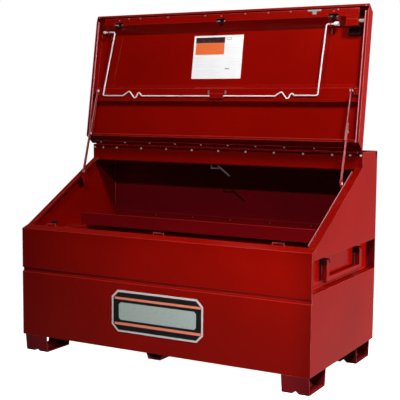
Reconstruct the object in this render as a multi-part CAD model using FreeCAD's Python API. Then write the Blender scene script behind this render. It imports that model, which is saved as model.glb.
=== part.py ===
import FreeCAD, Part
import math
import os

# Slope-lid jobsite storage box, millimetres.
# +Z up, +X to the right when facing the front, front panel faces -Y.
# Origin: centre of the footprint, on the floor under the feet.
# The lid is built closed and then swung open about the hinge pin.

# ---------------------------------------------------------------- sizes
W = 1524.0                # overall width
D = 800.0                 # overall depth
H = 997.0                 # height of the flat top deck
T = 2.0                   # wall sheet
FOOT_H = 78.0             # underside of the body
FRONT_H = 603.0           # top of the front face
LEDGE_Y, LEDGE_Z = -356.0, 618.0      # rear edge of the sloping front ledge
SLOPE_Y, SLOPE_Z = 194.0, 923.5       # upper end of the sloping side edge
HEAD_Z = 911.0            # lower edge of the hinge header
FLANGE_W = 35.0           # inward flange along the sloping edge
LIP_H = 12.0              # weather lip standing on that flange
HINGE_Y, HINGE_Z = 186.0, 993.5       # hinge pin axis
KNUCKLE_R, PIN_R = 6.4, 2.5
KNUCKLE_L = 50.8
LID_LEAN = 9.0            # lean of the open lid behind the vertical
LID_LEN = 657.0           # from the pin to the front bend, along the slope
SKIN_W = 3.0              # outer skin below the pin plane
EDGE_W = 63.6             # free edge of the lid skirts below the pin plane
RECESS_X = 724.0          # outer face of the handle recess floor
REC_LO, REC_LO_IN, REC_HI = 427.5, 431.5, 570.5
STAY_X_LOW = (712.5, 716.5)
STAY_X_UP = (708.0, 712.0)
STAY_LOW = (38.0, 859.5)              # stay pivot on the box (y, z)
STAY_UP_U, STAY_UP_W = 279.0, 69.0    # stay pivot in the lid
STAY_L1 = 205.0                       # lower link, pivot to knee
HANDLE_Y0, HANDLE_Y1 = -197.0, 217.0  # centres of the two handle arms
HANDLE_PX, HANDLE_PZ = 742.5, 539.5   # handle pivot
STRIKER_X = (-622.0, -10.0, 587.0)
PLATE_X, PLATE_Z = 11.0, 257.0        # centre of the front plate

HW, HD = W / 2.0, D / 2.0
TH = math.atan2(SLOPE_Z - LEDGE_Z, SLOPE_Y - LEDGE_Y)
S, C = math.sin(TH), math.cos(TH)
FLANGE_PLANE = (SLOPE_Y - HINGE_Y) * S - (SLOPE_Z - HINGE_Z) * C
OPEN_DEG = math.degrees(TH) + 90.0 + LID_LEAN

os.makedirs("parts", exist_ok=True)
V = FreeCAD.Vector


# ---------------------------------------------------------------- helpers
def box(x0, x1, y0, y1, z0, z1):
    return Part.makeBox(x1 - x0, y1 - y0, z1 - z0, V(x0, y0, z0))


def prism_x(pts, x0, x1):
    # polygon of (y, z) points drawn out along X
    w = Part.makePolygon([V(x0, y, z) for y, z in pts] + [V(x0, pts[0][0], pts[0][1])])
    return Part.Face(w).extrude(V(x1 - x0, 0, 0))


def prism_y(pts, y0, y1):
    w = Part.makePolygon([V(x, y0, z) for x, z in pts] + [V(pts[0][0], y0, pts[0][1])])
    return Part.Face(w).extrude(V(0, y1 - y0, 0))


def rod(p, q, r):
    a, b = V(*p), V(*q)
    return Part.makeCylinder(r, (b - a).Length, a, b - a)


def rod_x(x0, x1, y, z, r):
    return Part.makeCylinder(r, x1 - x0, V(x0, y, z), V(1, 0, 0))


def uw(u, w):
    # point at u down the slope from the pin and w below the pin plane
    return (HINGE_Y - u * C + w * S, HINGE_Z - u * S - w * C)


def uwbox(x0, x1, u0, u1, w0, w1):
    return prism_x([uw(u0, w0), uw(u1, w0), uw(u1, w1), uw(u0, w1)], x0, x1)


def fuse(shapes):
    s = shapes[0]
    if len(shapes) > 1:
        s = s.fuse(shapes[1:])
        s = s.removeSplitter()
    return s


def mirror_x(s):
    return s.mirror(V(0, 0, 0), V(1, 0, 0))


def swing(s, deg=-OPEN_DEG):
    t = s.copy()
    t.rotate(V(0, HINGE_Y, HINGE_Z), V(1, 0, 0), deg)
    return t


def dome(p, n, r, h):
    # low round screw head: short cylinder with a conical crown
    a, d = V(*p), V(*n)
    base = Part.makeCylinder(r, h * 0.45, a, d)
    top = Part.makeCone(r, r * 0.55, h * 0.55, a + d * (h * 0.45), d)
    return base.fuse(top).removeSplitter()


names = []


def put(shape, node):
    if isinstance(shape, (list, tuple)):
        shape = Part.makeCompound(list(shape))
    bad = [s for s in shape.Solids if not s.isValid() or s.Volume <= 0]
    shape.exportStep("parts/%s.step" % node)
    names.append(node)
    print("%-26s solids %2d vol %12.0f %s" % (node, len(shape.Solids), shape.Volume, "BAD" if bad else ""))
    return shape


# ---------------------------------------------------------------- front panels
# Lower panel: flat, its top edge stepped in to form the groove and run up
# behind the upper panel.
G0, G1 = 394.0, 411.0       # groove lower and upper edge
GD = 9.0                    # groove depth
lower = prism_x([(-HD, FOOT_H), (-HD + T, FOOT_H), (-HD + T, G0 - 6), (-HD + GD + T, G0 + 2), (-HD + GD + T, G1 + 24),
                 (-HD + GD, G1 + 24), (-HD + GD, G0 + 2.8), (-HD, G0 - 5.2)], -HW, HW)
lower = fuse([lower, box(-HW + T, HW - T, -HD + T, -HD + 24, FOOT_H, FOOT_H + T)])
put(lower, "front_panel_lower")

lt = math.atan2(LEDGE_Z - FRONT_H, LEDGE_Y + HD)
nx, nz = math.sin(lt) * T, math.cos(lt) * T
upper = prism_x([(-HD, G1), (-HD, FRONT_H), (LEDGE_Y, LEDGE_Z), (LEDGE_Y, LEDGE_Z - 26), (LEDGE_Y - T, LEDGE_Z - 26),
                 (LEDGE_Y - T, LEDGE_Z - 2.8), (-HD + T, FRONT_H - 1.3), (-HD + T, G1 + T), (-HD + GD - 0.05, G1 + T),
                 (-HD + GD - 0.05, G1)], -HW, HW)
put(upper, "front_panel_upper")

# ---------------------------------------------------------------- side panels
Y0, Y1 = -HD + T + GD + 0.0, HD - T


def side_panel():
    yf = -HD + T
    # lower plate stays behind the lower front panel's step
    lowp = box(HW - T, HW, yf, Y1, FOOT_H, REC_LO)
    step = prism_x([(-HD, G0 - 8), (-HD + GD + T, G0 - 8), (-HD + GD + T, G1 + 26), (-HD, G1 + 26)], HW - T - 1, HW + 1)
    lowp = lowp.cut(step)
    ledge = prism_y([(RECESS_X - T, REC_LO_IN - T), (HW, REC_LO - T), (HW, REC_LO), (RECESS_X - T, REC_LO_IN)], Y0, Y1)
    floor = box(RECESS_X - T, RECESS_X, Y0, Y1, REC_LO_IN - T, REC_HI + T)
    roof = box(RECESS_X - T, HW, yf, Y1, REC_HI, REC_HI + T)
    top = prism_x([(yf, REC_HI), (yf, FRONT_H - 1.5), (LEDGE_Y - T, LEDGE_Z - 3.0), (LEDGE_Y - T, LEDGE_Z - 27),
                   (LEDGE_Y, LEDGE_Z - 27), (LEDGE_Y, LEDGE_Z), (SLOPE_Y, SLOPE_Z), (SLOPE_Y + T, SLOPE_Z),
                   (SLOPE_Y + T, H - T), (Y1, H - T), (Y1, REC_HI)], HW - T, HW)
    # open notch at the top rear corner, under the deck
    top = top.cut(box(HW - T - 1, HW + 1, Y1 - 21, Y1 + 1, 960, 992))
    u_top = (HINGE_Y - SLOPE_Y) * C + (HINGE_Z - SLOPE_Z) * S
    u_bot = (HINGE_Y - LEDGE_Y) * C + (HINGE_Z - LEDGE_Z) * S
    fp = FLANGE_PLANE
    flange = uwbox(HW - FLANGE_W, HW, u_top, u_bot, fp, fp + T)
    # the lip stops short of the lid's hinge wall
    lip = uwbox(HW - FLANGE_W - T, HW - FLANGE_W, u_top + 45, u_bot - 2, fp - LIP_H + 3, fp + T)
    a, b = uw(u_top + 45, fp - LIP_H + 3), uw(u_bot - 2, fp - LIP_H + 3)
    hem = rod((HW - FLANGE_W - 0.5, a[0], a[1]), (HW - FLANGE_W - 0.5, b[0], b[1]), 2.4)
    base = box(HW - 22, HW - T, -HD + 24, HD - 24, FOOT_H + T, FOOT_H + 2 * T)
    base = fuse([base, box(HW - T - 0.5, HW - T, -HD + 24, HD - 24, FOOT_H + T, FOOT_H + 20)])
    s = fuse([lowp, ledge, floor, roof, top, flange, lip, hem, base])
    return s


right = side_panel()
put(right, "right_side_panel")
left = mirror_x(right)
put(left, "left_side_panel")

# ---------------------------------------------------------------- back, floor, deck, header
back = box(-HW, HW, HD - T, HD, FOOT_H, H - T)
put(back, "back_panel")

floor = box(-HW + T, HW - T, -HD + 24, HD - T, FOOT_H, FOOT_H + T)
put(floor, "floor_panel")

deck = fuse([box(-HW, HW, SLOPE_Y + T, HD, H - T, H),
             box(-HW + 24, HW - 24, HD - T - T, HD - T, H - T - 22, H - T)])
put(deck, "top_deck")

header = fuse([box(-HW, HW, SLOPE_Y, SLOPE_Y + T, HEAD_Z + 6, H),
               prism_x([(SLOPE_Y, HEAD_Z + 6), (SLOPE_Y + 1.8, HEAD_Z + 1.8), (SLOPE_Y + 6, HEAD_Z), (SLOPE_Y + 34, HEAD_Z), (SLOPE_Y + 34, HEAD_Z + 18),
                        (SLOPE_Y + 34 - T, HEAD_Z + 18), (SLOPE_Y + 34 - T, HEAD_Z + T), (SLOPE_Y + 6.8, HEAD_Z + T), (SLOPE_Y + 3.2, HEAD_Z + 3.4),
                        (SLOPE_Y + T, HEAD_Z + 6.6), (SLOPE_Y + T, HEAD_Z + 8), (SLOPE_Y, HEAD_Z + 8)], -HW + T, HW - T)])
# keep the header clear of the side panels' front edges
header = header.cut(box(HW - T, HW + 1, SLOPE_Y + T, SLOPE_Y + 8, HEAD_Z - 5, H)).cut(box(-HW - 1, -HW + T, SLOPE_Y + T, SLOPE_Y + 8, HEAD_Z - 5, H))
for sgn in (-1, 1):
    xa, xb_ = sorted((sgn * (HW - FLANGE_W - 6), sgn * (HW + 1)))
    header = header.cut(box(xa, xb_, SLOPE_Y - 4, SLOPE_Y + 6, HEAD_Z - 5, SLOPE_Z))
put(header, "hinge_header")

# ---------------------------------------------------------------- feet
# Each foot is one formed strap: two leaning webs joined by a floor plate that
# is creased upwards along its middle, and two welding flanges at the top.
def foot(cx, cy):
    h = FOOT_H
    xh, yt, yb, t = 64.0, 95.0, 86.0, 4.0
    outer = prism_x([(cy - yb, 0), (cy + yb, 0), (cy + yt, h), (cy - yt, h)], cx - xh, cx + xh)
    void = prism_x([(cy - yb + t, t), (cy + yb - t, t), (cy + yt - t, h + 1), (cy - yt + t, h + 1)], cx - 90, cx + 90)
    s = outer.cut(void)
    ridge = prism_y([(cx - 22, t - 0.5), (cx + 22, t - 0.5), (cx + 3, 17.5), (cx - 3, 17.5)], cy - yb + 1.0, cy + yb - 1.0)
    groove = prism_y([(cx - 17, -1), (cx + 17, -1), (cx + 1.5, 13.0), (cx - 1.5, 13.0)], cy - 110, cy + 110)
    s = fuse([s, ridge]).cut(groove)
    fl = [box(cx - xh, cx + xh, cy - yt + t - 0.8, cy - yt + 26, h - 3, h),
          box(cx - xh, cx + xh, cy + yt - 26, cy + yt - t + 0.8, h - 3, h)]
    s = fuse([s] + fl)
    return s


put(foot(-683.0, -305.0), "front_left_foot")
put(foot(694.0, -305.0), "front_right_foot")
put(foot(-683.0, 266.0), "rear_left_foot")
put(foot(694.0, 266.0), "rear_right_foot")

# hat-section runner under the middle of the floor, front to back
rx = -13.0
RD = 32.0
run = prism_y([(rx - 44, FOOT_H), (rx + 44, FOOT_H), (rx + 32, FOOT_H - RD), (rx - 32, FOOT_H - RD)], -HD + 20, HD - 20)
run = run.cut(prism_y([(rx - 41, FOOT_H + 1), (rx + 41, FOOT_H + 1), (rx + 29.5, FOOT_H - RD + 3), (rx - 29.5, FOOT_H - RD + 3)], -HD, HD))
run = fuse([run, box(rx - 60, rx - 41.5, -HD + 20, HD - 20, FOOT_H - 3, FOOT_H), box(rx + 41.5, rx + 60, -HD + 20, HD - 20, FOOT_H - 3, FOOT_H)])
put(run, "floor_runner")

# ---------------------------------------------------------------- tool shelf
SH0, SH1 = 74.0, HD - T
zf = REC_HI + T
shelf = fuse([box(-HW + T + 0.0, HW - T, SH0, SH1, zf, zf + T),
              box(-HW + T + 0.0, HW - T, SH0, SH0 + T, zf, 634.0),
              box(-HW + T + 0.0, HW - T, SH1 - T, SH1, zf, 622.0),
              rod_x(-HW + T, HW - T, SH0 + 2.4, 634.0, 2.6)])
put(shelf, "tool_shelf")
put([dome((x, SH1 - T, 609.0), (0, -1, 0), 5.0, 4.5) for x in (-487.0, -258.0, -29.0, 200.0, 429.0)], "shelf_bolts")

# ---------------------------------------------------------------- latch strikers
ledge_z = lambda y: FRONT_H + (y + HD) * (LEDGE_Z - FRONT_H) / (LEDGE_Y + HD)


def striker(cx):
    # pressed loop with leaning legs, welded to the rear face of the ledge's turned-down edge,
    # its top leaning back a little to stay clear of the closed lid
    y0 = LEDGE_Y
    sheet = prism_x([(y0, 596), (y0, 616), (y0 + 2, 629.4), (y0 + 6, 629.4), (y0 + 4, 616), (y0 + 4, 596)], cx - 40, cx + 40)
    s = sheet.common(prism_y([(cx - 34, 596), (cx - 34, 613), (cx - 26, 630), (cx + 26, 630), (cx + 34, 613), (cx + 34, 596)], y0 - 1, y0 + 8))
    return s.cut(prism_y([(cx - 28, 590), (cx - 28, 613), (cx - 22.5, 624.5), (cx + 22.5, 624.5), (cx + 28, 613), (cx + 28, 590)], y0 - 2, y0 + 9))


for n, x in zip(("left_striker", "centre_striker", "right_striker"), STRIKER_X):
    put(striker(x), n)

# ---------------------------------------------------------------- piano hinge
HX = 756.0
n_k = int(2 * HX / KNUCKLE_L)
gap = 0.5
body_k, lid_k = [], []
x = -n_k * KNUCKLE_L / 2.0
for i in range(n_k):
    ring = rod_x(x + gap / 2, x + KNUCKLE_L - gap / 2, HINGE_Y, HINGE_Z, KNUCKLE_R)
    (body_k if i % 2 == 0 else lid_k).append(ring)
    x += KNUCKLE_L
HX = n_k * KNUCKLE_L / 2.0
bore = rod_x(-HX - 5, HX + 5, HINGE_Y, HINGE_Z, PIN_R + 0.06)
body_leaf = box(-HX, HX, SLOPE_Y - 1.8, SLOPE_Y, 971.5, HINGE_Z - 0.5)
# free the body leaf where the lid's knuckles turn
clear_b = [rod_x(k.BoundBox.XMin - gap / 2, k.BoundBox.XMax + gap / 2, HINGE_Y, HINGE_Z, KNUCKLE_R + 0.5) for k in lid_k]
clear_l = [rod_x(k.BoundBox.XMin - gap / 2, k.BoundBox.XMax + gap / 2, HINGE_Y, HINGE_Z, KNUCKLE_R + 0.5) for k in body_k]
body_leaf = body_leaf.cut(clear_b)
lid_leaf = box(-HX, HX, HINGE_Y - 5, HINGE_Y - 3.2, 962.0, HINGE_Z - 3.0).cut(clear_l)
body_leaf = body_leaf.fuse(body_k).removeSplitter().cut(bore)
lid_leaf = lid_leaf.fuse(lid_k).removeSplitter().cut(bore)
put(body_leaf, "hinge_body_leaf")
put(rod_x(-HX - 3, HX + 3, HINGE_Y, HINGE_Z, PIN_R), "hinge_pin")
xs_low = [-751, -697, -609, -455, -302, -149, 4, 157, 310, 463, 611, 700, 751]
put([dome((x, SLOPE_Y - 1.8, 981.0), (0, -1, 0), 5.6, 3.4) for x in xs_low], "hinge_body_screws")
put(swing(lid_leaf), "hinge_lid_leaf")
xs_up = [-695, -542, -390, -236, -84, 69, 221, 374, 528, 681]
put([swing(dome((x, HINGE_Y - 3.2, 972.0), (0, 1, 0), 4.6, 2.6)) for x in xs_up], "hinge_lid_screws")

# ---------------------------------------------------------------- lid shell
WALL_Y = HINGE_Y - 5.0                 # outer face of the lid's hinge wall


def z_on(y, w):
    return HINGE_Z + ((y - HINGE_Y) * S - w) / C


bend = uw(LID_LEN, SKIN_W)
LIP_Y = bend[0]
LIP_Z = 611.8
skirt_pts = [(WALL_Y, z_on(WALL_Y, SKIN_W)), bend, (LIP_Y, LIP_Z), (LEDGE_Y, z_on(LEDGE_Y, EDGE_W)), (WALL_Y, z_on(WALL_Y, EDGE_W))]
inner_pts = [(WALL_Y - T, z_on(WALL_Y - T, SKIN_W + T)), (LIP_Y + T, z_on(LIP_Y + T, SKIN_W + T)), (LIP_Y + T, 560.0), (WALL_Y - T, 860.0)]
skin = prism_x(skirt_pts, -HW, HW).cut(prism_x(inner_pts, -HW + T, HW - T))
ue0 = (HINGE_Y - WALL_Y) * C + (HINGE_Z - z_on(WALL_Y, EDGE_W)) * S + 4.0
ue1 = (HINGE_Y - LEDGE_Y) * C + (HINGE_Z - z_on(LEDGE_Y, EDGE_W)) * S - 3.0
pieces = [skin]
for sgn in (-1, 1):
    a, b = (HW - 16.0, HW - 1.0)
    f = uwbox(a, b, ue0, ue1, EDGE_W - T, EDGE_W)
    p, q = uw(ue0 + 2, EDGE_W - 2.9), uw(ue1 - 2, EDGE_W - 2.9)
    h = rod((a + 1.0, p[0], p[1]), (a + 1.0, q[0], q[1]), 2.9)
    f = f.fuse(h)
    pieces.append(f if sgn > 0 else mirror_x(f))
# hemmed return along the front lip and along the hinge wall
pieces.append(box(-HW + 1, HW - 1, LIP_Y + 1, LIP_Y + 12.0, LIP_Z, LIP_Z + T))
pieces.append(rod_x(-HW + 1.5, HW - 1.5, LIP_Y + 11.0, LIP_Z + 2.4, 2.4))
wz = z_on(WALL_Y - T, EDGE_W)
pieces.append(prism_x([(WALL_Y - 1, wz + 1), (WALL_Y - 11, z_on(WALL_Y - 11, EDGE_W)), (WALL_Y - 11, z_on(WALL_Y - 11, EDGE_W - T)),
                       (WALL_Y - 1, z_on(WALL_Y - 1, EDGE_W - T))], -HW + 1, HW - 1))
skin = fuse(pieces)
put(swing(skin), "lid_shell")

# ---------------------------------------------------------------- lid front channel
CH_W = 55.7
cb, cf = uw(632.0, CH_W), uw(669.0, CH_W)       # rear and front lower corners
ct = uw(590.0, SKIN_W + T)                      # rear wall's foot on the skin
CHX = 715.0
zt = lambda y: z_on(y, SKIN_W + T)
ci = uw(592.6, SKIN_W + T)
chan = prism_x([ct, cb, cf, (cf[0], zt(cf[0])), (cf[0] + T, zt(cf[0] + T)), (cf[0] + T, cf[1] + 2.9),
                (cb[0] - 2.7, cb[1] + 0.75), ci], -CHX, CHX)
chan_room = prism_x([ct, cb, uw(720, CH_W), uw(720, -40), uw(590, -40)], -800, 800)
SLOT_HW = 25.0
for x in STRIKER_X:
    chan = chan.cut(box(x - SLOT_HW, x + SLOT_HW, -352.0, cb[0] + 2, cb[1] - 30, cb[1] + 5))
    chan = chan.cut(box(x - 13, x + 13, cb[0] - 8, cb[0] + 20, cb[1], cb[1] + 23))
put(swing(chan), "lid_front_channel")
dots = [(-489, 664), (-320, 664), (125, 664), (368, 664), (609, 664), (-560, 664), (250, 664), (-100, 664)]
put([swing(dome((x, uw(u, CH_W)[0], uw(u, CH_W)[1]), (0, S, -C), r, 2.4)) for x, u, r in
     [(x, u, 4.2) for x, u in dots] + [(x + 2, 658.0, 3.6) for x in STRIKER_X]], "channel_rivets")

# ---------------------------------------------------------------- lid stiffener
SF = 33.0
su = [(213.0, SKIN_W + T), (234.0, SF), (298.0, SF), (319.0, SKIN_W + T), (316.3, SKIN_W + T), (296.9, SF - T), (235.1, SF - T), (215.7, SKIN_W + T)]
stiff = prism_x([uw(u, w) for u, w in su], -742.0, 742.0)
put(swing(stiff), "lid_stiffener")

# ---------------------------------------------------------------- stays
OPEN_R = math.radians(OPEN_DEG)


def opened(p):
    dy, dz = p[0] - HINGE_Y, p[1] - HINGE_Z
    c, s = math.cos(-OPEN_R), math.sin(-OPEN_R)
    return (HINGE_Y + dy * c - dz * s, HINGE_Z + dy * s + dz * c)


up_closed = uw(STAY_UP_U, STAY_UP_W)
up_open = opened(up_closed)
dy, dz = up_open[0] - STAY_LOW[0], up_open[1] - STAY_LOW[1]
span = math.hypot(dy, dz)
STAY_L2 = span - STAY_L1
knee = (STAY_LOW[0] + dy * STAY_L1 / span, STAY_LOW[1] + dz * STAY_L1 / span)
dc = math.hypot(up_closed[0] - STAY_LOW[0], up_closed[1] - STAY_LOW[1])
a0 = math.degrees(math.atan2(dz, dy))
base = math.degrees(math.atan2(up_closed[1] - STAY_LOW[1], up_closed[0] - STAY_LOW[0]))
inc = math.degrees(math.acos((STAY_L1 ** 2 + dc ** 2 - STAY_L2 ** 2) / (2 * STAY_L1 * dc)))
a1 = (base + inc) % 360.0
if a1 < a0:
    a1 += 360.0
kc = (STAY_LOW[0] + STAY_L1 * math.cos(math.radians(a1)), STAY_LOW[1] + STAY_L1 * math.sin(math.radians(a1)))
b0 = math.degrees(math.atan2(knee[1] - up_open[1], knee[0] - up_open[0])) % 360.0
b1 = math.degrees(math.atan2(kc[1] - up_closed[1], kc[0] - up_closed[0])) % 360.0
print("OPEN_DEG", OPEN_DEG, "stay span", span, "L2", STAY_L2, "knee", knee, "closed distance", dc, "knee closed", kc)
print("lower link turn", a1 - a0, "upper link world", b0, b1, "relative to lid", b1 - b0 - OPEN_DEG)
print("stay up open", up_open, "stay up closed", up_closed)


def link(p, q, x0, x1, hw, hwe, past, hole_p=None):
    # flat bar from its pivot p through the knee q and a little past it
    dyl, dzl = q[0] - p[0], q[1] - p[1]
    L = math.hypot(dyl, dzl)
    ey, ez = dyl / L, dzl / L
    e = (q[0] + ey * past, q[1] + ez * past)
    s = prism_x([(p[0] - ez * hw, p[1] + ey * hw), (e[0] - ez * hwe, e[1] + ey * hwe), (e[0] + ez * hwe, e[1] - ey * hwe), (p[0] + ez * hw, p[1] - ey * hw)], x0, x1)
    s = fuse([s, rod_x(x0, x1, p[0], p[1], hw + 1.0), rod_x(x0, x1, e[0], e[1], hwe)])
    if hole_p:
        s = s.cut(rod_x(x0 - 1, x1 + 1, p[0], p[1], hole_p))
    return s, (p[0] + ey * 240.0, p[1] + ez * 240.0)


RIV = 4.0
lowlink, stop = link(STAY_LOW, knee, STAY_X_LOW[0], STAY_X_LOW[1], 9.0, 6.5, 73.0, hole_p=RIV + 0.08)
# stop stud above the knee, standing on the lower link
lowlink = fuse([lowlink, rod_x(STAY_X_LOW[1], STAY_X_LOW[1] + 5.0, stop[0], stop[1], 4.5)])
uplink, stop = link(up_open, knee, STAY_X_UP[0], STAY_X_UP[1], 7.0, 7.5, 0.0, hole_p=3.5 + 0.08)
rivet = dome((STAY_X_UP[0], knee[0], knee[1]), (-1, 0, 0), 6.0, 3.0)
# anchor plates on the inner faces of the weather lips
ay, az = STAY_LOW
al = (HINGE_Y - ay) * C + (HINGE_Z - az) * S
anchor = fuse([uwbox(717.0, 719.0, al - 19, al + 19, 32.0, FLANGE_PLANE + 40),
               uwbox(717.0, HW - FLANGE_W - T, al - 19, al + 19, FLANGE_PLANE - LIP_H + 9, FLANGE_PLANE + 2)])
anchor_rivet = fuse([rod_x(STAY_X_LOW[0], 719.0, ay, az, RIV), rod_x(719.0, 721.5, ay, az, 6.0)])
anchor = anchor.cut(rod_x(716, 719.0, ay, az, RIV))
for side, f in (("right", lambda s: s), ("left", mirror_x)):
    put(f(anchor), side + "_stay_anchor")
    put(f(lowlink), side + "_stay_lower_link")
    put(f(uplink), side + "_stay_upper_link")
put([anchor_rivet, mirror_x(anchor_rivet)], "stay_anchor_rivets")
put(rivet, "right_stay_knee_rivet")
put(mirror_x(rivet), "left_stay_knee_rivet")

# stay brackets on the lid's side skirts, with the pins the upper links hang on
brk = fuse([uwbox(713.2, 716.2, STAY_UP_U - 15, STAY_UP_U + 15, 40.0, 71.0),
            rod_x(713.2, 716.2, up_closed[0], up_closed[1], 11.0),
            uwbox(713.2, HW - T, STAY_UP_U - 15, STAY_UP_U + 15, 40.0, 43.0),
            uwbox(HW - T - 3, HW - T, STAY_UP_U - 15, STAY_UP_U + 15, 25.0, 54.0)])
brk = brk.cut(rod_x(712, 717, up_closed[0], up_closed[1], 3.5))
pin = fuse([rod_x(705.5, 717.6, up_closed[0], up_closed[1], 3.5), rod_x(703.6, 707.7, up_closed[0], up_closed[1], 6.0),
            rod_x(716.2, 717.9, up_closed[0], up_closed[1], 6.0)])
put(swing(brk), "right_stay_bracket")
put(swing(mirror_x(brk)), "left_stay_bracket")
put([swing(pin), swing(mirror_x(pin))], "stay_bracket_pins")

# ---------------------------------------------------------------- lock housing
housing = uwbox(653, 713, 584, 640, SKIN_W + T, 60.0).cut(uwbox(655, 711, 586, 650, SKIN_W + T - 1, 58.0))
housing = housing.cut(chan_room).cut(uwbox(600, 760, 617.5, 680, 0, 61))
cover = uwbox(673, 714.5, 627, 663, CH_W, CH_W + 4.5)
housing = fuse([housing, cover, uwbox(653, 713, 615.5, 633, 57.0, 58.5), uwbox(653, 673, 631, 636, CH_W, 58.5), uwbox(653, 713, 631, 633, CH_W, 58.5)])
put(swing(housing), "lock_housing")
tray = uwbox(655, 715, 551, 577, SKIN_W + T, 26.0).cut(uwbox(657, 713, 553, 575, SKIN_W + T + 2, 30.0))
put(swing(tray), "padlock_tray")
lb = uw(610.0, 40.0)
put(swing(fuse([rod_x(713, 736, lb[0], lb[1], 9.0), rod_x(736, 741, lb[0], lb[1], 11.0)]).cut(chan)), "lock_barrel")

# ---------------------------------------------------------------- latch shaft and hooks
SH = (-355.0, cb[1] + 19.0)               # shaft axis, closed lid
LATCH_DEG = 45.0
shaft = rod_x(-705, 705, SH[0], SH[1], 6.0)


def turn(s, deg):
    t = s.copy()
    t.rotate(V(0, SH[0], SH[1]), V(1, 0, 0), deg)
    return t


def hook(cx):
    y, z = SH
    s = prism_x([(y + 0.5, z - 5), (y + 7.5, z - 2), (y + 10.4, z - 8), (y + 10.4, z - 37.5), (y - 1.5, z - 37.5), (y - 1.5, z - 33.5), (y + 5.8, z - 32.5),
                 (y + 5.8, z - 9)], cx - 10, cx + 10)
    s = fuse([s, rod_x(cx - 10, cx + 10, y, z, 8.5)])
    return turn(s.cut(rod_x(cx - 11, cx + 11, y, z, 6.0)), LATCH_DEG)


put(swing(shaft), "latch_shaft")
put([swing(hook(x)) for x in STRIKER_X], "latch_hooks")
bear = []
for x in (-700.0, -330.0, 280.0, 700.0):
    b = box(x - 3, x + 3, cf[0] + T, cb[0] - 3.4, SH[1] - 10, SH[1] + 14).cut(rod_x(x - 4, x + 4, SH[0], SH[1], 6.08))
    bear.append(swing(b))
put(bear, "latch_bearings")
print("latch axis closed", SH, "open", opened(SH))

# ---------------------------------------------------------------- plan-holder bail
WR = 3.8
BLOW = 38.0                            # wire centre where it lies along the stiffener
BU, BW = 600.0, 42.0                   # bail pivot in the lid
bx = [(-712, BU), (-651, BU), (-696, 259), (-569, 259), (-530, 284), (-490, 242), (-471, 281), (-450, 258), (-46, 258), (32, 258),
      (313, 258), (346, 280), (380, 240), (400, 278), (412, 261), (533, 261), (552, BU), (590, BU)]
wplane = lambda u: BW - (BU - u) * (BW - BLOW) / (BU - 258.0)
pts3 = [V(x, *uw(u, wplane(u))) for x, u in bx]


def wire_path(pts, rads):
    edges = []
    last = pts[0]
    for i in range(1, len(pts) - 1):
        p, a, b = pts[i], pts[i - 1], pts[i + 1]
        u1 = (a - p).normalize()
        u2 = (b - p).normalize()
        if (u1 + u2).Length < 1e-4:
            continue
        ang = u1.getAngle(u2)
        t = rads[i] / math.tan(ang / 2.0)
        s, e = p + u1 * t, p + u2 * t
        bis = (u1 + u2).normalize()
        c = p + bis * (rads[i] / math.sin(ang / 2.0))
        m = c - bis * rads[i]
        edges.append(Part.LineSegment(last, s).toShape())
        edges.append(Part.Arc(s, m, e).toShape())
        last = e
    edges.append(Part.LineSegment(last, pts[-1]).toShape())
    return Part.Wire(edges)


rads = [0] + [9.0] * (len(pts3) - 2) + [0]
path = wire_path(pts3, rads)
d0 = (pts3[1] - pts3[0]).normalize()
circ = Part.Wire([Part.makeCircle(WR, pts3[0], d0)])
bail = path.makePipeShell([circ], True, False)
if bail.ShapeType != "Solid":
    bail = Part.Solid(bail) if bail.ShapeType == "Shell" else bail.Solids[0]
print("bail volume", bail.Volume, "section x length", math.pi * WR * WR * path.Length)
put(swing(bail), "bail_wire")
bp = uw(BU, BW)
cap_r = fuse([rod_x(590, 596, bp[0], bp[1], 7.5), rod_x(594, 613, bp[0], bp[1], 10.5)])
cap_l = fuse([rod_x(-721, -712, bp[0], bp[1], 8.0)])
put([swing(cap_r), swing(cap_l)], "bail_end_caps")


def ear(x0, x1):
    # plate standing on the lid skin, holding the bail wire
    e = uwbox(x0, x1, BU - 14, BU + 8, SKIN_W + T, 50.0)
    foot_ = uwbox(x0 - 14 if x0 > 0 else x1, x0 if x0 > 0 else x1 + 14, BU - 40, BU - 14, SKIN_W + T, SKIN_W + T + 3)
    web = uwbox(x0, x1, BU - 40, BU - 13, SKIN_W + T, 22.0)
    e = fuse([e, web, foot_])
    e = e.cut(chan_room)
    return e.cut(rod_x(x0 - 1, x1 + 1, bp[0], bp[1], WR + 0.08))


put([swing(ear(-690, -686)), swing(ear(572, 576))], "bail_brackets")
tab = uwbox(-45, 33, 246, 271, BLOW + WR - 0.6, BLOW + WR + 1.6)
tab = fuse([tab, uwbox(-45, 33, 269, 271, 34.5, BLOW + WR + 1), uwbox(-45, 33, 246, 248, 34.5, BLOW + WR + 1)])
tw = swing(tab)
tab = tw.cut(swing(bail))
put(tab, "bail_tab")
put([swing(uwbox(38, 44, 266, 286, SF, SF + 8)), swing(uwbox(-57, -51, 266, 286, SF, SF + 8))], "bail_stops")

# ---------------------------------------------------------------- card and tag on the lid
put(swing(uwbox(-180, 101, 352, 573, SKIN_W + T, SKIN_W + T + 0.6)), "lid_card")
put(swing(fuse([uwbox(457, 525, 660.5, 668, CH_W, CH_W + 2.5), uwbox(482, 502, 645, 662, CH_W, CH_W + 2.0)])), "tee_plate")

# ---------------------------------------------------------------- drop handles
HYC = (HANDLE_Y0, HANDLE_Y1)


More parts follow.
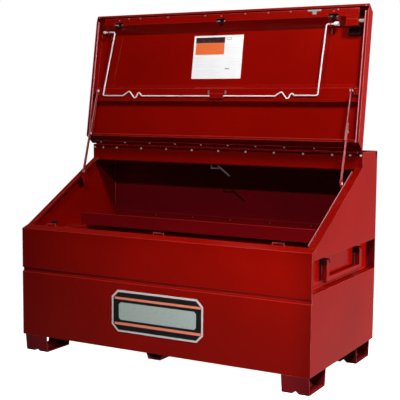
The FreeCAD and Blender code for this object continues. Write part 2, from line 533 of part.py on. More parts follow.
def handle():
    x0, x1 = 731.5, 753.5
    arms = []
    zb = 448.5
    for yc in HYC:
        a = box(x0, x1, yc - 14, yc + 14, zb + 11, HANDLE_PZ)
        a = fuse([a, Part.makeCylinder(11.0, 28, V(HANDLE_PX, yc - 14, HANDLE_PZ), V(0, 1, 0)),
                  Part.makeCylinder(11.0, 28, V(HANDLE_PX, yc - 14, zb + 11), V(0, 1, 0))])
        # pressed hollow on the face towards the recess
        arms.append(a)
    grip = fuse([box(x0 + 0.6, x1 - 0.6, HYC[0], HYC[1], zb + 7, zb + 20), rod((HANDLE_PX, HYC[0], zb + 13.5), (HANDLE_PX, HYC[1], zb + 13.5), 11.5).common(box(x0 + 0.6, x1 - 0.6, HYC[0], HYC[1], zb, zb + 30))])
    s = fuse(arms + [grip])
    for yc in HYC:
        s = s.cut(Part.makeCylinder(5.08, 40, V(HANDLE_PX, yc - 20, HANDLE_PZ), V(0, 1, 0)))
    return s


hd = handle()
put(hd, "right_handle")
put(mirror_x(hd), "left_handle")


def lugs():
    out = []
    for yc in HYC:
        for sgn in (-1, 1):
            ya = yc + sgn * 14.5
            yb_ = ya + sgn * 5.0
            y_lo, y_hi = min(ya, yb_), max(ya, yb_)
            e = fuse([box(RECESS_X, HANDLE_PX, y_lo, y_hi, HANDLE_PZ - 13, HANDLE_PZ + 13),
                      Part.makeCylinder(13.0, 5.0, V(HANDLE_PX, y_lo, HANDLE_PZ), V(0, 1, 0))])
            e = e.cut(Part.makeCylinder(5.0, 20, V(HANDLE_PX, y_lo - 5, HANDLE_PZ), V(0, 1, 0)))
            out.append(e)
        out[-2] = fuse([out[-2], out[-1], box(RECESS_X, RECESS_X + 3, yc - 19.5, yc + 19.5, HANDLE_PZ - 13, HANDLE_PZ + 27)])
        out.pop()
    return out


lg = lugs()
put(lg, "right_handle_lugs")
put([mirror_x(s) for s in lg], "left_handle_lugs")
pins = []
for yc in HYC:
    p = fuse([Part.makeCylinder(5.0, 41.0, V(HANDLE_PX, yc - 20.5, HANDLE_PZ), V(0, 1, 0)),
              Part.makeCylinder(8.0, 3.0, V(HANDLE_PX, yc - 23.0, HANDLE_PZ), V(0, 1, 0)),
              Part.makeCylinder(8.0, 3.0, V(HANDLE_PX, yc + 20.0, HANDLE_PZ), V(0, 1, 0))])
    pins += [p, mirror_x(p)]
put(pins, "handle_pins")

# ---------------------------------------------------------------- header hook
hy = SLOPE_Y + 10.0
hk = fuse([box(-44, -38, hy, hy + 3, 889, HEAD_Z), box(-4, 2, hy, hy + 3, 889, HEAD_Z), box(-44, 2, hy, hy + 3, 889, 895),
           box(-44, 2, hy, hy + 14, HEAD_Z - 2.4, HEAD_Z), prism_y([(-4, 900), (-1, 908), (64, 859), (60, 853.5)], hy, hy + 3)])
put(hk, "header_hook")

# ---------------------------------------------------------------- front plate
pw, ph, pc = 242.0, 97.5, 32.0
put(prism_y([(PLATE_X + sx * dx, PLATE_Z + sz * dz) for sx, sz, dx, dz in
             ((-1, -1, pw - pc, ph), (1, -1, pw - pc, ph), (1, -1, pw, ph - pc), (1, 1, pw, ph - pc),
              (1, 1, pw - pc, ph), (-1, 1, pw - pc, ph), (-1, 1, pw, ph - pc), (-1, -1, pw, ph - pc))], -HD - 2.2, -HD), "front_plate")

print("bail pivot closed", bp, "open", opened(bp))
print(len(names), "nodes")
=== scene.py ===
import bpy
import bmesh
import math
from mathutils import Vector, Matrix


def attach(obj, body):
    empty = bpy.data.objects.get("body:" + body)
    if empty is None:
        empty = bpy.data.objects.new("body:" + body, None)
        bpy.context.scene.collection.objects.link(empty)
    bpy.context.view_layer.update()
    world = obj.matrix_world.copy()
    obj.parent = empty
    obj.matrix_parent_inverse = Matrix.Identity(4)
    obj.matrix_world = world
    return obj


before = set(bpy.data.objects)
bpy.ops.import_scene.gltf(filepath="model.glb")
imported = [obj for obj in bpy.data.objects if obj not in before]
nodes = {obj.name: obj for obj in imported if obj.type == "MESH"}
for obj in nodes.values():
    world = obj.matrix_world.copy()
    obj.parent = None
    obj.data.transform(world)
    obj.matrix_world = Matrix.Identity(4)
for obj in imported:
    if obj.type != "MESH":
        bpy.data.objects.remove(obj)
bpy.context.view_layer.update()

# ------------------------------------------------------------------ frame sizes used below (metres)
HINGE = Vector((0.0, 0.186, 0.9935))
TH = math.atan2(305.5, 550.0)
S, C = math.sin(TH), math.cos(TH)
OPEN = TH + math.radians(99.0)


def uw(u, w):
    # lid coordinates in mm (u from the pin down the slope, w below the pin plane) -> closed y, z in metres
    return (0.186 + (-u * C + w * S) / 1000.0, 0.9935 + (-u * S - w * C) / 1000.0)


def opened(y, z):
    dy, dz = y - HINGE.y, z - HINGE.z
    c, s = math.cos(-OPEN), math.sin(-OPEN)
    return (HINGE.y + dy * c - dz * s, HINGE.z + dy * s + dz * c)


def lidp(x, u, w):
    y, z = opened(*uw(u, w))
    return Vector((x / 1000.0, y, z))


# ------------------------------------------------------------------ material helpers
def new_mat(name):
    m = bpy.data.materials.new(name)
    m.use_nodes = True
    nt = m.node_tree
    for n in list(nt.nodes):
        nt.nodes.remove(n)
    out = nt.nodes.new("ShaderNodeOutputMaterial")
    bsdf = nt.nodes.new("ShaderNodeBsdfPrincipled")
    nt.links.new(bsdf.outputs[0], out.inputs[0])
    return m, nt, bsdf


def node(nt, kind, **kw):
    n = nt.nodes.new(kind)
    for k, v in kw.items():
        if k.startswith("i_"):
            key = k[2:].replace("_", " ")
            n.inputs[key].default_value = v
        else:
            setattr(n, k, v)
    return n


def noise(nt, vec, scale, detail=3.0, rough=0.5):
    n = node(nt, "ShaderNodeTexNoise")
    n.inputs["Scale"].default_value = scale
    n.inputs["Detail"].default_value = detail
    n.inputs["Roughness"].default_value = rough
    nt.links.new(vec, n.inputs["Vector"])
    return n.outputs["Fac"]


def remap(nt, val, a, b, c, d):
    n = node(nt, "ShaderNodeMapRange")
    n.inputs["From Min"].default_value = a
    n.inputs["From Max"].default_value = b
    n.inputs["To Min"].default_value = c
    n.inputs["To Max"].default_value = d
    nt.links.new(val, n.inputs["Value"])
    return n.outputs["Result"]


def math_(nt, op, a, b=None):
    n = node(nt, "ShaderNodeMath", operation=op)
    for i, v in enumerate((a, b)):
        if v is None:
            continue
        if isinstance(v, (int, float)):
            n.inputs[i].default_value = v
        else:
            nt.links.new(v, n.inputs[i])
    return n.outputs[0]


def mixc(nt, fac, a, b):
    n = node(nt, "ShaderNodeMix", data_type="RGBA")
    if isinstance(fac, (int, float)):
        n.inputs["Factor"].default_value = fac
    else:
        nt.links.new(fac, n.inputs["Factor"])
    for sock, v in ((n.inputs[6], a), (n.inputs[7], b)):
        if isinstance(v, tuple):
            sock.default_value = v
        else:
            nt.links.new(v, sock)
    return n.outputs[2]


def edge_mask(nt, radius):
    # 0 on flats, rising where the rounded normal leaves the true one
    bev = node(nt, "ShaderNodeBevel", samples=6)
    bev.inputs["Radius"].default_value = radius
    geo = node(nt, "ShaderNodeNewGeometry")
    dot = node(nt, "ShaderNodeVectorMath", operation="DOT_PRODUCT")
    nt.links.new(bev.outputs[0], dot.inputs[0])
    nt.links.new(geo.outputs["True Normal"], dot.inputs[1])
    return remap(nt, dot.outputs["Value"], 0.995, 0.86, 0.0, 1.0), bev.outputs[0]


def along(nt, co, direction, origin):
    # distance in millimetres from origin along a direction, in the object's own space
    d = node(nt, "ShaderNodeVectorMath", operation="DOT_PRODUCT")
    nt.links.new(co, d.inputs[0])
    d.inputs[1].default_value = tuple(v * 1000.0 for v in direction)
    return math_(nt, "SUBTRACT", d.outputs["Value"], float(Vector(direction).dot(Vector(origin))) * 1000.0)


def span(nt, val, a, b, soft=0.5):
    return math_(nt, "MULTIPLY", remap(nt, val, a - soft, a + soft, 0.0, 1.0), remap(nt, val, b - soft, b + soft, 1.0, 0.0))


def rect(nt, x, y, x0, x1, y0, y1, soft=0.5):
    return math_(nt, "MULTIPLY", span(nt, x, x0, x1, soft), span(nt, y, y0, y1, soft))


def paint(nt, tone, mask, col, k=1.0):
    return mixc(nt, mask if k == 1.0 else math_(nt, "MULTIPLY", mask, k), tone, col + (1,))


def enamel(name, base=(0.258, 0.0022, 0.0002), dark=(0.218, 0.0017, 0.0002), rough=0.16, peel=0.03, dust=0.008, coat=0.12,
           edge=(0.55, 0.17, 0.16), edge_r=0.0024, edge_k=0.55, extra=None):
    m, nt, b = new_mat(name)
    tc = node(nt, "ShaderNodeTexCoord")
    co = tc.outputs["Object"]
    big = noise(nt, co, 2.3, 4.0, 0.55)
    mid = noise(nt, co, 17.0, 5.0, 0.6)
    fine = noise(nt, co, 420.0, 2.0, 0.5)
    speck = noise(nt, co, 130.0, 2.0, 0.7)
    tone = mixc(nt, remap(nt, big, 0.35, 0.7, 0.0, 1.0), base + (1,), dark + (1,))
    scuff = math_(nt, "MULTIPLY", remap(nt, mid, 0.58, 0.78, 0.0, 1.0), remap(nt, speck, 0.52, 0.72, 0.0, 1.0))
    tone = mixc(nt, math_(nt, "MULTIPLY", scuff, dust), tone, (0.55, 0.16, 0.13, 1))
    # edge tone: pale pink mixed in where the rounded normal bends, partly paint wear and partly a painted highlight
    # along the edges
    em, bn = edge_mask(nt, edge_r)
    tone = mixc(nt, math_(nt, "MULTIPLY", em, remap(nt, mid, 0.35, 0.65, edge_k * 0.45, edge_k)), tone, edge + (1,))
    if extra:
        # patchy noise breaking up the painted highlights laid on by extra
        highlight_breakup = remap(nt, noise(nt, co, 38.0, 4.0, 0.65), 0.30, 0.62, 0.55, 1.0)
        for mask, col, k in extra(nt, co):
            tone = paint(nt, tone, math_(nt, "MULTIPLY", mask, highlight_breakup), col, k)
    nt.links.new(tone, b.inputs["Base Color"])
    r = remap(nt, mid, 0.3, 0.75, rough * 0.85, rough * 1.3)
    nt.links.new(math_(nt, "ADD", r, math_(nt, "MULTIPLY", scuff, 0.2)), b.inputs["Roughness"])
    b.inputs["IOR"].default_value = 1.45
    b.inputs["Specular IOR Level"].default_value = 0.3
    b.inputs["Coat Weight"].default_value = coat
    b.inputs["Coat Roughness"].default_value = 0.04
    bump = node(nt, "ShaderNodeBump")
    bump.inputs["Strength"].default_value = peel
    bump.inputs["Distance"].default_value = 0.0006
    nt.links.new(math_(nt, "ADD", math_(nt, "MULTIPLY", fine, 0.35), math_(nt, "MULTIPLY", big, 6.0)), bump.inputs["Height"])
    nt.links.new(bn, bump.inputs["Normal"])
    nt.links.new(bump.outputs[0], b.inputs["Normal"])
    nt.links.new(bump.outputs[0], b.inputs["Coat Normal"])
    return m


def steel(name, base=(0.62, 0.61, 0.60), rough=0.28, scale=220.0, metal=1.0):
    m, nt, b = new_mat(name)
    tc = node(nt, "ShaderNodeTexCoord")
    co = tc.outputs["Object"]
    n1 = noise(nt, co, scale, 4.0, 0.6)
    n2 = noise(nt, co, scale * 0.12, 3.0, 0.6)
    col = mixc(nt, remap(nt, n2, 0.4, 0.7, 0.0, 1.0), base + (1,), tuple(v * 0.7 for v in base) + (1,))
    nt.links.new(col, b.inputs["Base Color"])
    b.inputs["Metallic"].default_value = metal
    nt.links.new(remap(nt, n1, 0.3, 0.7, rough * 0.7, rough * 1.4), b.inputs["Roughness"])
    bump = node(nt, "ShaderNodeBump")
    bump.inputs["Strength"].default_value = 0.08
    bump.inputs["Distance"].default_value = 0.0004
    nt.links.new(n1, bump.inputs["Height"])
    nt.links.new(bump.outputs[0], b.inputs["Normal"])
    return m


ENAMEL = enamel("enamel_red")
# darker, purplish copy of the enamel for the inside of the back: painted shade; the shelf gets its own darker copy
# below
ENAMEL_IN_SHADE = enamel("enamel_inside_shade", base=(0.20, 0.0035, 0.0095), dark=(0.16, 0.003, 0.008), coat=0.1, edge_k=0.4)
# darker, violet-tinted copy of the enamel for the feet and floor runner: painted shade
ENAMEL_FOOT_SHADE = enamel("enamel_foot_shade", base=(0.235, 0.011, 0.014), dark=(0.19, 0.009, 0.012), coat=0.1, edge_k=0.5)
DU = tuple((lidp(0, 1000, 0) - lidp(0, 0, 0)).normalized())
DW = tuple((lidp(0, 0, 1000) - lidp(0, 0, 0)).normalized())
O3 = (0.0, 0.0, 0.0)


def lid_hem_highlight(nt, co):
    # painted highlight along the rolled hems of the lid's skirts and front lip, with a dimmer one on the outer rim
    ax = math_(nt, "ABSOLUTE", along(nt, co, (1.0, 0.0, 0.0), O3))
    w = along(nt, co, DW, tuple(lidp(0, 0, 0)))
    hem = math_(nt, "MULTIPLY", span(nt, ax, 744.6, 749.4, 0.9), remap(nt, w, 58.6, 60.4, 0.0, 1.0))
    rim = math_(nt, "MULTIPLY", remap(nt, ax, 759.0, 760.5, 0.0, 1.0), remap(nt, w, 61.0, 62.4, 0.0, 1.0))
    return ((hem, (0.84, 0.44, 0.47), 0.72), (rim, (0.6, 0.2, 0.2), 0.45))


def side_lip_highlight(nt, co):
    # painted highlight along the weather lips of the sloping mouth: bright on the right lip, where the light falls, and
    # faint on the left lip, which lies in shade
    x = along(nt, co, (1.0, 0.0, 0.0), O3)
    n = Vector((0.0, S, -C))
    w = along(nt, co, tuple(n), tuple(HINGE))
    fp = (194.0 - 186.0) * S - (923.5 - 993.5) * C
    top = remap(nt, w, fp - 8.8, fp - 7.4, 1.0, 0.0)
    right = math_(nt, "MULTIPLY", span(nt, x, 724.0, 728.6, 0.8), top)
    left = math_(nt, "MULTIPLY", span(nt, x, -728.6, -724.0, 0.8), top)
    return ((right, (0.70, 0.30, 0.31), 0.62), (left, (0.30, 0.03, 0.04), 0.3))


def shelf_lip_highlight(nt, co):
    # painted highlight: a paler line along the top hem of the shelf lip
    z = along(nt, co, (0.0, 0.0, 1.0), O3)
    return ((remap(nt, z, 633.2, 634.4, 0.0, 1.0), (0.36, 0.015, 0.012), 0.6),)


# strikers: paler pink edges, stronger than elsewhere, partly edge wear and partly a painted highlight on the loops
ENAMEL_WORN_GLINT = enamel("enamel_worn_glint", edge=(0.7, 0.3, 0.3), edge_r=0.0024, edge_k=0.8)
ENAMEL_LID = enamel("enamel_lid", extra=lid_hem_highlight)
ENAMEL_SIDE = enamel("enamel_side", extra=side_lip_highlight)
# darker, purplish copy of the enamel for the shelf: painted shade, with the lip line painted on as above
ENAMEL_SHELF = enamel("enamel_shelf", base=(0.185, 0.0022, 0.005), dark=(0.15, 0.0018, 0.0045), coat=0.1, edge_k=0.4, extra=shelf_lip_highlight)
# strap of the stays: a thin red coat, pinker than the box, with pale pink edges; partly bare-edged wear and partly
# painted highlight for the glints along the strap
STAY = enamel("stay_enamel", base=(0.34, 0.035, 0.04), dark=(0.22, 0.01, 0.014), rough=0.25, edge=(0.85, 0.58, 0.60), edge_r=0.0032, edge_k=0.95)
STEEL = steel("zinc_steel", base=(0.95, 0.82, 0.81), rough=0.35, metal=0.15)
HOOK = steel("dull_wire", base=(0.13, 0.12, 0.12), rough=0.45, metal=0.3)
WIRE = steel("plated_wire", base=(0.96, 0.88, 0.89), rough=0.22, scale=90.0, metal=0.05)
DULL = steel("painted_bolt", base=(0.16, 0.03, 0.035), rough=0.4, scale=120.0, metal=0.2)
# near-black steel; on the padlock tray it also stands in for the shade under the lock housing
DARK_STEEL_SHADE = steel("dark_steel", base=(0.03, 0.004, 0.007), rough=0.3, metal=0.1)
TEE = steel("tee_steel", base=(0.50, 0.50, 0.45), rough=0.4, metal=0.4)
RIVET = steel("worn_rivet", base=(0.40, 0.20, 0.20), rough=0.35, metal=0.3)


def card_mat():
    m, nt, b = new_mat("card_white")
    tc = node(nt, "ShaderNodeTexCoord")
    co = tc.outputs["Object"]
    f = noise(nt, co, 900.0, 3.0, 0.6)
    g = noise(nt, co, 12.0, 3.0, 0.5)
    q = noise(nt, co, 60.0, 4.0, 0.6)
    x = along(nt, co, (1.0, 0.0, 0.0), (0.0, 0.0, 0.0))
    u = along(nt, co, tuple((lidp(0, 1000, 0) - lidp(0, 0, 0)).normalized()), tuple(lidp(0, 0, 0)))
    tone = mixc(nt, remap(nt, g, 0.4, 0.7, 0.0, 0.6), (0.95, 0.95, 0.95, 1), (0.89, 0.89, 0.89, 1))
    # plain colour blocks and faint ruled lines, no lettering
    worn = remap(nt, q, 0.25, 0.5, 0.95, 1.0)
    tone = paint(nt, tone, math_(nt, "MULTIPLY", rect(nt, x, u, -169, -2, 535, 563.6), worn), (0.035, 0.012, 0.012))
    tone = paint(nt, tone, math_(nt, "MULTIPLY", rect(nt, x, u, -168, -3, 475, 535), worn), (0.83, 0.16, 0.035))
    for u0 in (458, 447, 436, 425, 414, 392, 381, 370):
        tone = paint(nt, tone, rect(nt, x, u, -166, -18 - 23 * (u0 % 3), u0, u0 + 2.2, 0.8), (0.55, 0.55, 0.56), 0.28)
    for u0 in (536, 522, 508, 494, 480, 452, 438, 424):
        tone = paint(nt, tone, rect(nt, x, u, 12 + 5 * (u0 % 2), 92 - 9 * (u0 % 3), u0, u0 + 2.0, 0.8), (0.55, 0.55, 0.56), 0.24)
    tone = paint(nt, tone, rect(nt, x, u, 9, 33, 400, 405, 1.0), (0.10, 0.08, 0.09), 0.85)
    ring = math_(nt, "SUBTRACT", rect(nt, x, u, 6, 35, 549, 562, 0.8), rect(nt, x, u, 9, 32, 552, 559, 0.8))
    tone = paint(nt, tone, ring, (0.35, 0.33, 0.36), 0.8)
    edge = math_(nt, "SUBTRACT", rect(nt, x, u, -200, 200, 300, 700, 1.0), rect(nt, x, u, -176, 101, 352.5, 569.5, 1.0))
    tone = paint(nt, tone, edge, (0.80, 0.74, 0.74), 0.5)
    nt.links.new(tone, b.inputs["Base Color"])
    b.inputs["Roughness"].default_value = 0.5
    bump = node(nt, "ShaderNodeBump")
    bump.inputs["Strength"].default_value = 0.05
    bump.inputs["Distance"].default_value = 0.0002
    nt.links.new(f, bump.inputs["Height"])
    nt.links.new(bump.outputs[0], b.inputs["Normal"])
    return m


CARD = card_mat()


def plate_mat():
    # dark field, pale rim and two bars as on the photographed plate; the middle is a blank panel
    m, nt, b = new_mat("plate_field")
    tc = node(nt, "ShaderNodeTexCoord")
    co = tc.outputs["Object"]
    f = noise(nt, co, 700.0, 3.0, 0.6)
    g = noise(nt, co, 20.0, 4.0, 0.6)
    k = noise(nt, co, 90.0, 4.0, 0.65)
    x = along(nt, co, (1.0, 0.0, 0.0), (0.011, 0.0, 0.257))
    z = along(nt, co, (0.0, 0.0, 1.0), (0.011, 0.0, 0.257))
    ax, az = math_(nt, "ABSOLUTE", x), math_(nt, "ABSOLUTE", z)
    d1, d2 = math_(nt, "SUBTRACT", ax, 242.0), math_(nt, "SUBTRACT", az, 97.5)
    d3 = math_(nt, "MULTIPLY", math_(nt, "SUBTRACT", math_(nt, "ADD", ax, az), 242.0 + 97.5 - 32.0), 0.70711)
    dist = math_(nt, "MAXIMUM", math_(nt, "MAXIMUM", d1, d2), d3)
    tone = mixc(nt, remap(nt, g, 0.35, 0.7, 0.0, 1.0), (0.0095, 0.010, 0.0095, 1), (0.006, 0.0065, 0.006, 1))
    chip = remap(nt, k, 0.30, 0.42, 0.75, 1.0)
    # blank name panel with cut corners
    px, pz = math_(nt, "ABSOLUTE", math_(nt, "SUBTRACT", x, 2.0)), math_(nt, "ABSOLUTE", math_(nt, "ADD", z, 0.0))
    e1, e2 = math_(nt, "SUBTRACT", px, 205.0), math_(nt, "SUBTRACT", pz, 41.0)
    e3 = math_(nt, "MULTIPLY", math_(nt, "SUBTRACT", math_(nt, "ADD", px, pz), 205.0 + 41.0 - 10.0), 0.70711)
    pd = math_(nt, "MAXIMUM", math_(nt, "MAXIMUM", e1, e2), e3)
    tone = paint(nt, tone, math_(nt, "MULTIPLY", remap(nt, pd, -0.5, 0.5, 1.0, 0.0), chip), (0.40, 0.47, 0.44))
    for z0, z1 in ((54.5, 65.5), (-65.0, -52.5)):
        tone = paint(nt, tone, math_(nt, "MULTIPLY", rect(nt, x, z, -226, 231, z0, z1), chip), (0.83, 0.235, 0.15))
    rim = remap(nt, dist, -9.3, -8.3, 0.0, 1.0)
    tone = paint(nt, tone, math_(nt, "MULTIPLY", rim, chip), (0.62, 0.60, 0.60))
    nt.links.new(tone, b.inputs["Base Color"])
    nt.links.new(remap(nt, f, 0.3, 0.7, 0.32, 0.5), b.inputs["Roughness"])
    bump = node(nt, "ShaderNodeBump")
    bump.inputs["Strength"].default_value = 0.08
    bump.inputs["Distance"].default_value = 0.0003
    nt.links.new(math_(nt, "ADD", math_(nt, "MULTIPLY", f, 0.3), rim), bump.inputs["Height"])
    nt.links.new(bump.outputs[0], b.inputs["Normal"])
    return m


PLATE = plate_mat()


def assign(n, mat):
    o = nodes[n]
    if not o.material_slots:
        o.data.materials.append(mat)
    for s in o.material_slots:
        s.material = mat


BRIGHT = "hinge_body_screws hinge_lid_screws stay_anchor_rivets stay_bracket_pins hinge_pin latch_shaft right_stay_knee_rivet left_stay_knee_rivet".split()
for n in nodes:
    if n in BRIGHT:
        assign(n, STEEL)
    elif n in ("bail_wire", "bail_end_caps"):
        assign(n, WIRE)
    # near-black parts; the padlock tray is dark for the painted shade beneath the lock housing
    elif n in ("padlock_tray", "latch_hooks", "latch_bearings", "right_handle_lugs", "left_handle_lugs", "handle_pins"):
        assign(n, DARK_STEEL_SHADE)
    elif n == "lid_card":
        assign(n, CARD)
    elif n == "front_plate":
        assign(n, PLATE)
    elif n.endswith("_foot") or n == "floor_runner":
        assign(n, ENAMEL_FOOT_SHADE)
    elif n == "back_panel":
        # painted shade: the darker copy goes on the inner face only, the plain enamel on the outer face
        assign(n, ENAMEL_IN_SHADE)
        nodes[n].data.materials.append(ENAMEL)
        last = len(nodes[n].data.materials) - 1
        for f in nodes[n].data.polygons:
            if f.normal.y > 0.3:
                f.material_index = last
    elif n == "header_hook":
        assign(n, HOOK)
    elif n.endswith("_striker"):
        assign(n, ENAMEL_WORN_GLINT)
    elif n in ("tee_plate", "lock_barrel"):
        assign(n, TEE)
    elif n == "lid_shell":
        assign(n, ENAMEL_LID)
    elif n in ("right_side_panel", "left_side_panel"):
        assign(n, ENAMEL_SIDE)
    elif n == "tool_shelf":
        assign(n, ENAMEL_SHELF)
    elif n in ("channel_rivets", "bail_stops"):
        assign(n, RIVET)
    elif n == "shelf_bolts":
        assign(n, DULL)
    elif n.endswith("_link"):
        assign(n, STAY)
    else:
        assign(n, ENAMEL)

# ------------------------------------------------------------------ seams: welded beads in the corners
def bead(name, body, p, q, r, mat, wave=0.25, pitch=0.006, seed=1.0):
    # a run of overlapping weld ripples from p to q
    p, q = Vector(p), Vector(q)
    ax = (q - p).normalized()
    ref = Vector((0, 0, 1)) if abs(ax.z) < 0.9 else Vector((1, 0, 0))
    e1 = ax.cross(ref).normalized()
    e2 = ax.cross(e1)
    n = max(6, int((q - p).length / pitch))
    bm = bmesh.new()
    rings = []
    for i in range(n + 1):
        t = i / n
        c = p.lerp(q, t)
        rr = r * (1.0 - wave * (0.5 + 0.5 * math.cos(math.pi * i)) - 0.18 * math.sin(i * 1.7 + seed))
        if i in (0, n):
            rr *= 0.35
        rings.append([bm.verts.new(c + e1 * (rr * math.cos(a)) + e2 * (rr * math.sin(a))) for a in [math.pi * 2 * k / 10 for k in range(10)]])
    for a, b in zip(rings, rings[1:]):
        for k in range(10):
            bm.faces.new((a[k], a[(k + 1) % 10], b[(k + 1) % 10], b[k]))
    bm.faces.new(list(reversed(rings[0])))
    bm.faces.new(rings[-1])
    bmesh.ops.recalc_face_normals(bm, faces=bm.faces)
    mesh = bpy.data.meshes.new(name)
    bm.to_mesh(mesh)
    bm.free()
    for f in mesh.polygons:
        f.use_smooth = True
    ob = bpy.data.objects.new(name, mesh)
    ob.data.materials.append(mat)
    bpy.context.scene.collection.objects.link(ob)
    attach(ob, body)
    return ob


def hole_shade_dome(name, body, c, hy, hz, thick, mat):
    # painted shade: a black oblong, domed towards the inside, set on the left wall to stand in for the shade in a dark
    # hole
    bm = bmesh.new()
    rings = []
    for k, (off, sc) in enumerate(((0.0, 1.0), (0.5, 1.0), (0.85, 0.9), (1.0, 0.7), (1.0, 0.35))):
        ring = []
        for i in range(28):
            a = 2 * math.pi * i / 28
            yy = (hy - hz) * (1 if math.cos(a) > 0 else -1) + hz * math.cos(a)
            ring.append(bm.verts.new((c[0] + thick * off, c[1] + yy * (1 - (1 - sc) * hz / hy), c[2] + hz * math.sin(a) * sc)))
        rings.append(ring)
    for a, b in zip(rings, rings[1:]):
        for i in range(28):
            bm.faces.new((a[i], a[(i + 1) % 28], b[(i + 1) % 28], b[i]))
    bm.faces.new(list(reversed(rings[0])))
    bm.faces.new(rings[-1])
    bmesh.ops.recalc_face_normals(bm, faces=bm.faces)
    mesh = bpy.data.meshes.new(name)
    bm.to_mesh(mesh)
    bm.free()
    ob = bpy.data.objects.new(name, mesh)
    ob.data.materials.append(mat)
    bpy.context.scene.collection.objects.link(ob)
    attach(ob, body)
    return ob


# near-black for the painted shade on the left wall
HOLE_SHADE_BLACK = steel("hole_shade_black", base=(0.012, 0.008, 0.010), rough=0.6, scale=300.0, metal=0.0)
HOLE_SHADE_BLACK.node_tree.nodes["Principled BSDF"].inputs["Specular IOR Level"].default_value = 0.1
hole_shade_dome("wall_hole_shade", "box", (-0.7600, -0.152, 0.6055), 0.023, 0.0075, 0.0016, HOLE_SHADE_BLACK)

# the beads are real welds; their paler, pinker enamel is a painted highlight along the corner seams
SEAM_GLINT = enamel("enamel_seam_glint", base=(0.30, 0.05, 0.05), dark=(0.2, 0.02, 0.02), rough=0.3, peel=0.06, edge_k=0.2)
for sgn, tag in ((-1, "left"), (1, "right")):
    bead("weld_back_corner_" + tag, "box", (sgn * 0.7590, 0.3970, 0.64), (sgn * 0.7590, 0.3970, 0.905), 0.0021, SEAM_GLINT, seed=sgn)
    bead("weld_recess_rear_" + tag, "box", (sgn * 0.7257, 0.3962, 0.436), (sgn * 0.7257, 0.3962, 0.566), 0.0022, SEAM_GLINT, seed=4.0 + sgn)

# ------------------------------------------------------------------ stage, lights, camera
scene = bpy.context.scene
scene.view_settings.view_transform = "Standard"
scene.view_settings.look = "None"

me = bpy.data.meshes.new("floor_mesh")
R = 9.0
me.from_pydata([(-R, -R, 0), (R, -R, 0), (R, R, 0), (-R, R, 0)], [], [(0, 1, 2, 3)])
floor = bpy.data.objects.new("studio_floor", me)
scene.collection.objects.link(floor)
floor.visible_glossy = False
floor.visible_diffuse = False
m, nt, b = new_mat("floor_pale")
out = [n for n in nt.nodes if n.type == "OUTPUT_MATERIAL"][0]
tc = node(nt, "ShaderNodeTexCoord")
ln = node(nt, "ShaderNodeVectorMath", operation="LENGTH")
nt.links.new(tc.outputs["Object"], ln.inputs[0])
fade = remap(nt, ln.outputs["Value"], 1.0, 2.2, 0.0, 1.0)
b.inputs["Base Color"].default_value = (0.9, 0.9, 0.9, 1)
b.inputs["Emission Color"].default_value = (1, 1, 1, 1)
b.inputs["Emission Strength"].default_value = 1.0
b.inputs["Roughness"].default_value = 0.7
tr = node(nt, "ShaderNodeBsdfTransparent")
mx = node(nt, "ShaderNodeMixShader")
nt.links.new(fade, mx.inputs[0])
nt.links.new(b.outputs[0], mx.inputs[1])
nt.links.new(tr.outputs[0], mx.inputs[2])
nt.links.new(mx.outputs[0], out.inputs[0])
floor.data.materials.append(m)


def area(name, loc, target, size, power, size_y=None, color=(1, 1, 1), spread=math.pi, glossy=True):
    d = bpy.data.lights.new(name, "AREA")
    d.shape = "RECTANGLE"
    d.size = size
    d.size_y = size_y or size
    d.energy = power
    d.color = color
    d.spread = spread
    o = bpy.data.objects.new(name, d)
    o.location = loc
    v = Vector(target) - Vector(loc)
    o.rotation_euler = v.to_track_quat("-Z", "Y").to_euler()
    scene.collection.objects.link(o)
    o.visible_camera = False
    o.visible_glossy = glossy
    return o


def spot(name, loc, target, angle, power, blend=0.6, radius=0.15):
    d = bpy.data.lights.new(name, "SPOT")
    d.spot_size = math.radians(angle)
    d.spot_blend = blend
    d.shadow_soft_size = radius
    d.energy = power
    o = bpy.data.objects.new(name, d)
    o.location = loc
    v = Vector(target) - Vector(loc)
    o.rotation_euler = v.to_track_quat("-Z", "Y").to_euler()
    scene.collection.objects.link(o)
    o.visible_camera = False
    return o


# strips that only show as highlights on rounded edges and wires
def strip(name, loc, target, sx, sy, power, color=(1.0, 0.93, 0.94)):
    o = area(name, loc, target, sx, power, size_y=sy, color=color)
    o.visible_diffuse = False
    return o


LIGHTS = {
    "near_top": area("near_top", (0.2, -1.5, 2.1), (0.0, 0.3, 0.8), 0.05, 17.0, glossy=False),
    "right_top": area("right_top", (1.7, -1.1, 3.0), (0.2, 0.1, 1.0), 0.4, 66.0, glossy=False),
    "side_fill": area("side_fill", (5.0, 2.2, 0.7), (0.5, 0.0, 0.5), 2.5, 410.0, glossy=False),
    "left_fill": area("left_fill", (-5.0, 2.2, 0.9), (-0.5, 0.0, 0.6), 2.5, 230.0, glossy=False),
    "low_front": spot("low_front", (1.2, -1.7, 0.95), (0.35, -0.4, 0.3), 62.0, 92.0, 0.9, 0.03),
    "strip_right": strip("strip_right", (3.3, -2.4, 1.7), (0.6, 0.0, 1.0), 0.25, 2.6, 80.0),
    "strip_top": strip("strip_top", (0.3, -2.0, 3.3), (0.0, 0.0, 1.0), 3.0, 0.2, 12.0),
}

# flags at the low front light keep it out of the open mouth and off the right side
for tag, (xa, xb, za, zb) in (("top", (0.6, 1.8, 0.893, 1.25)), ("side", (1.118, 1.6, 0.1, 0.9))):
    me = bpy.data.meshes.new("flag_%s_mesh" % tag)
    me.from_pydata([(xa, -1.45, za), (xb, -1.45, za), (xb, -1.45, zb), (xa, -1.45, zb)], [], [(0, 1, 2, 3)])
    flag = bpy.data.objects.new("light_flag_" + tag, me)
    scene.collection.objects.link(flag)
    flag.data.materials.append(DULL)
    flag.visible_camera = False
    flag.visible_glossy = False
    flag.visible_diffuse = False
    flag.visible_transmission = False

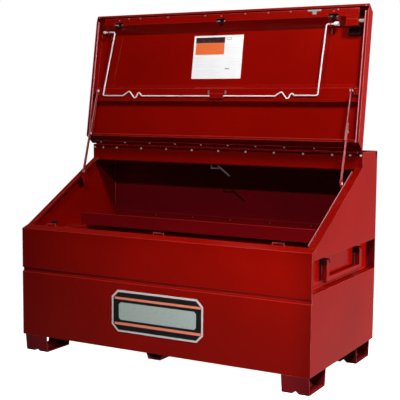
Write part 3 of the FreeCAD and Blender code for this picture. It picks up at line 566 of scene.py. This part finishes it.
world = bpy.data.worlds.new("studio")
scene.world = world
world.use_nodes = True
wt = world.node_tree
for n in list(wt.nodes):
    wt.nodes.remove(n)
wo = node(wt, "ShaderNodeOutputWorld")
tcw = node(wt, "ShaderNodeTexCoord")
sep = node(wt, "ShaderNodeSeparateXYZ")
wt.links.new(tcw.outputs["Generated"], sep.inputs[0])
# dark studio ahead and to the left of the front, pale walls to the right and behind, pale ceiling
up = remap(wt, sep.outputs["Z"], 0.3, 0.95, 0.0, 1.0)
rightness = remap(wt, sep.outputs["X"], -0.1, 0.5, 0.0, 1.0)
behind = remap(wt, sep.outputs["Y"], -0.1, 0.7, 0.0, 1.0)
below = math_(wt, "MULTIPLY", remap(wt, sep.outputs["Z"], -0.12, -0.26, 0.0, 1.0), remap(wt, sep.outputs["Z"], -0.5, -0.3, 0.1, 1.0))
sky = math_(wt, "ADD", math_(wt, "MULTIPLY", up, 0.06), 0.012)
sky = math_(wt, "ADD", sky, math_(wt, "MULTIPLY", below, 0.15))
sky = math_(wt, "ADD", sky, math_(wt, "MULTIPLY", math_(wt, "MULTIPLY", math_(wt, "MULTIPLY", rightness, behind), remap(wt, sep.outputs["Z"], -0.6, -0.3, 0.2, 1.0)), 0.26))
bg1 = node(wt, "ShaderNodeBackground")
bg1.inputs["Strength"].default_value = 0.8
comb = node(wt, "ShaderNodeCombineColor")
# walls of the studio a little warm
for i, kk in enumerate((1.0, 0.92, 0.92)):
    wt.links.new(math_(wt, "MULTIPLY", sky, kk), comb.inputs[i])
wt.links.new(comb.outputs[0], bg1.inputs["Color"])
bg2 = node(wt, "ShaderNodeBackground")
bg2.inputs["Color"].default_value = (1, 1, 1, 1)
bg2.inputs["Strength"].default_value = 1.0
lp = node(wt, "ShaderNodeLightPath")
mxw = node(wt, "ShaderNodeMixShader")
wt.links.new(lp.outputs["Is Camera Ray"], mxw.inputs[0])
wt.links.new(bg1.outputs[0], mxw.inputs[1])
wt.links.new(bg2.outputs[0], mxw.inputs[2])
wt.links.new(mxw.outputs[0], wo.inputs[0])

yaw, pitch, roll = math.radians(28.746), math.radians(5.403), math.radians(0.487)
fwd = Vector((-math.sin(yaw) * math.cos(pitch), math.cos(yaw) * math.cos(pitch), -math.sin(pitch)))
rgt = Vector((math.cos(yaw), math.sin(yaw), 0.0))
upv = rgt.cross(fwd)
r2 = rgt * math.cos(roll) + upv * math.sin(roll)
u2 = -rgt * math.sin(roll) + upv * math.cos(roll)
cam_d = bpy.data.cameras.new("camera")
cam_d.lens = 83.16
cam_d.sensor_width = 36.0
cam_d.shift_x = -0.0192
cam_d.shift_y = -0.0111
cam_d.clip_end = 60.0
cam = bpy.data.objects.new("camera", cam_d)
cam.matrix_world = Matrix((
    (r2.x, u2.x, -fwd.x, 2.18759),
    (r2.y, u2.y, -fwd.y, -3.89498),
    (r2.z, u2.z, -fwd.z, 1.19389),
    (0, 0, 0, 1)))
scene.collection.objects.link(cam)
scene.camera = cam
